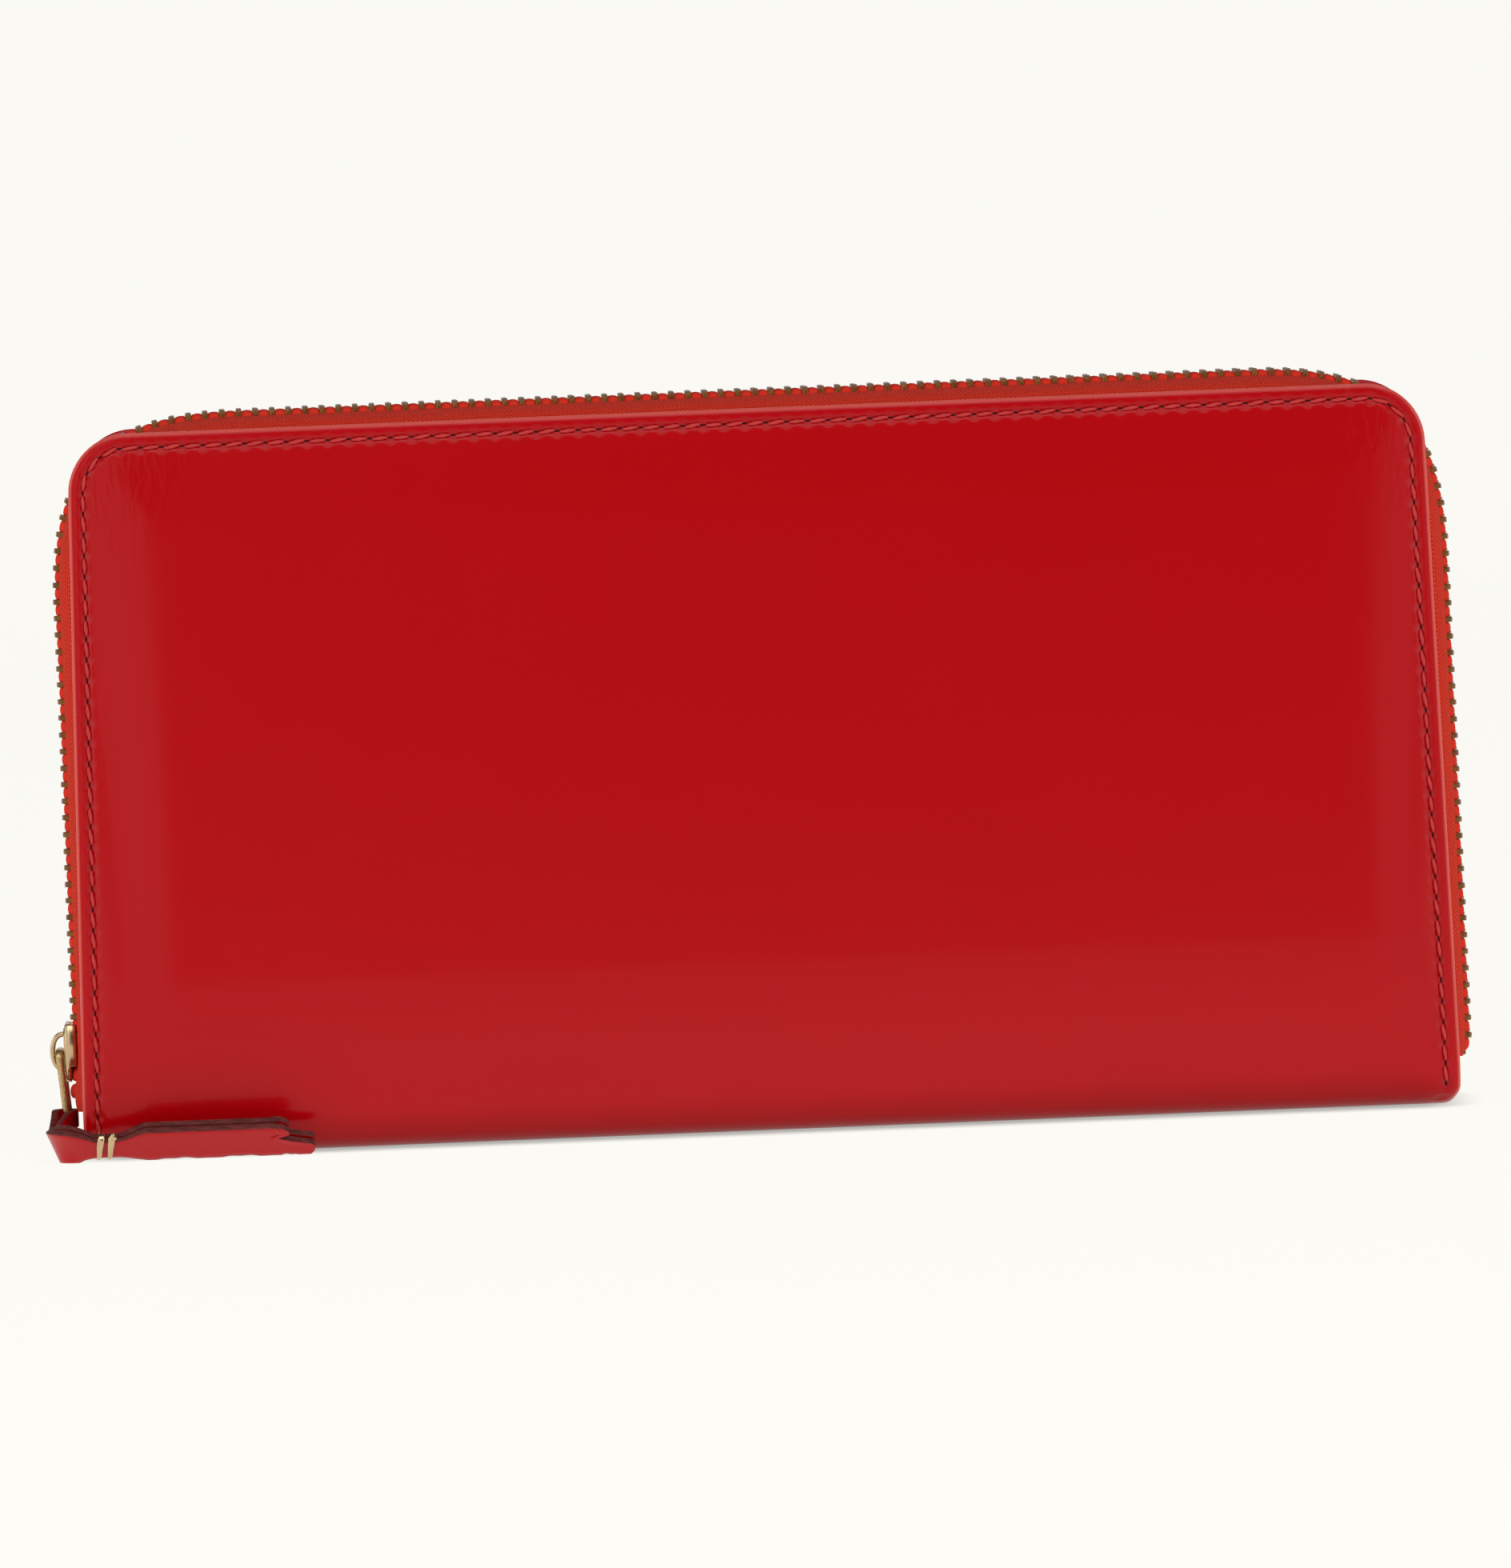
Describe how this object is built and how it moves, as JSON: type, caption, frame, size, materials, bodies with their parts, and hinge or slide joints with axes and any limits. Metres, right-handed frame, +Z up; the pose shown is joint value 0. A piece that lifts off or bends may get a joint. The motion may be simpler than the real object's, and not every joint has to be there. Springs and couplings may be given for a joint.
{
  "type": "zip around wallet",
  "caption": "Long leather wallet closed on three sides by a zip, with a leather pull on a ring, card slots, bill compartments and a zipped coin pocket.",
  "frame": {"origin": "middle of the flat underside of the spine, on which the closed wallet stands", "axes": "+X along the spine, +Y from the front cover to the back cover (the pull lies across the front), +Z up from the spine to the zipped edge"},
  "size_m": [0.1948, 0.0285, 0.1013],
  "materials": {
    "red_leather": "polished",
    "inner_leather": "satin",
    "lining_cloth": "matte weave",
    "grey_board": "matte",
    "zip_tape": "herringbone weave",
    "aged_brass": "antique",
    "bright_brass": "polished"
  },
  "bodies": {
    "spine": {"spine": "red_leather", "spine_lining": "lining_cloth", "coin_pocket_front_wall": "inner_leather", "coin_pocket_back_wall": "inner_leather", "coin_pocket_gusset": "inner_leather", "coin_zip_front_tape": "zip_tape", "coin_zip_back_tape": "zip_tape", "coin_zip_front_teeth": "aged_brass", "coin_zip_back_teeth": "aged_brass", "front_left_bill_gusset": "lining_cloth", "front_right_bill_gusset": "lining_cloth", "back_left_bill_gusset": "lining_cloth", "back_right_bill_gusset": "lining_cloth", "zip_bottom_stop": "aged_brass", "zip_end_tab": "zip_tape"},
    "front_cover": {"front_cover": "red_leather", "front_stiffener": "grey_board", "front_lining": "lining_cloth", "card_tier_1": "inner_leather", "card_tier_2": "inner_leather", "card_tier_3": "inner_leather", "card_tier_4": "inner_leather", "front_zip_tape": "zip_tape", "front_zip_teeth": "aged_brass", "front_top_stop": "aged_brass"},
    "back_cover": {"back_cover": "red_leather", "back_stiffener": "grey_board", "back_lining": "lining_cloth", "slip_pocket": "inner_leather", "back_zip_tape": "zip_tape", "back_zip_teeth": "aged_brass", "back_top_stop": "aged_brass"},
    "zip_slider": {"slider_body": "bright_brass", "slider_bridge": "bright_brass"},
    "pull_ring": {"pull_ring": "bright_brass"},
    "leather_pull": {"pull_tab": "red_leather", "pull_binding": "bright_brass"},
    "coin_zip_slider": {"coin_slider_body": "bright_brass", "coin_slider_bridge": "bright_brass"},
    "coin_zip_pull": {"coin_pull": "bright_brass"}
  },
  "joints": [
    {"name": "front_cover_hinge", "type": "hinge", "parent": "spine", "child": "front_cover", "pos_m": [0, -0.012, 0.006], "axis": [1, 0, 0], "range_deg": [0, 35], "deforming": ["front_left_bill_gusset", "front_right_bill_gusset"]},
    {"name": "back_cover_hinge", "type": "hinge", "parent": "spine", "child": "back_cover", "pos_m": [0, 0.012, 0.006], "axis": [-1, 0, 0], "range_deg": [0, 35], "deforming": ["back_left_bill_gusset", "back_right_bill_gusset"]},
    {"name": "zip_slider_travel", "type": "slide", "parent": "front_cover", "child": "zip_slider", "axis": [0, 0, 1], "range_m": [0, 0.057]},
    {"name": "pull_ring_swing", "type": "hinge", "parent": "zip_slider", "child": "pull_ring", "pos_m": [-0.09745, 0, 0.01425], "axis": [0, 1, 0], "range_deg": [0, 120]},
    {"name": "pull_tab_swing", "type": "hinge", "parent": "pull_ring", "child": "leather_pull", "pos_m": [-0.09745, -0.00295, 0.00525], "axis": [0, 0, -1], "range_deg": [0, 90]},
    {"name": "coin_slider_travel", "type": "slide", "parent": "spine", "child": "coin_zip_slider", "axis": [1, 0, 0], "range_m": [0, 0.14]},
    {"name": "coin_pull_swing", "type": "hinge", "parent": "coin_zip_slider", "child": "coin_zip_pull", "pos_m": [-0.07595, 0, 0.08805], "axis": [0, -1, 0], "range_deg": [0, 170]}
  ]
}
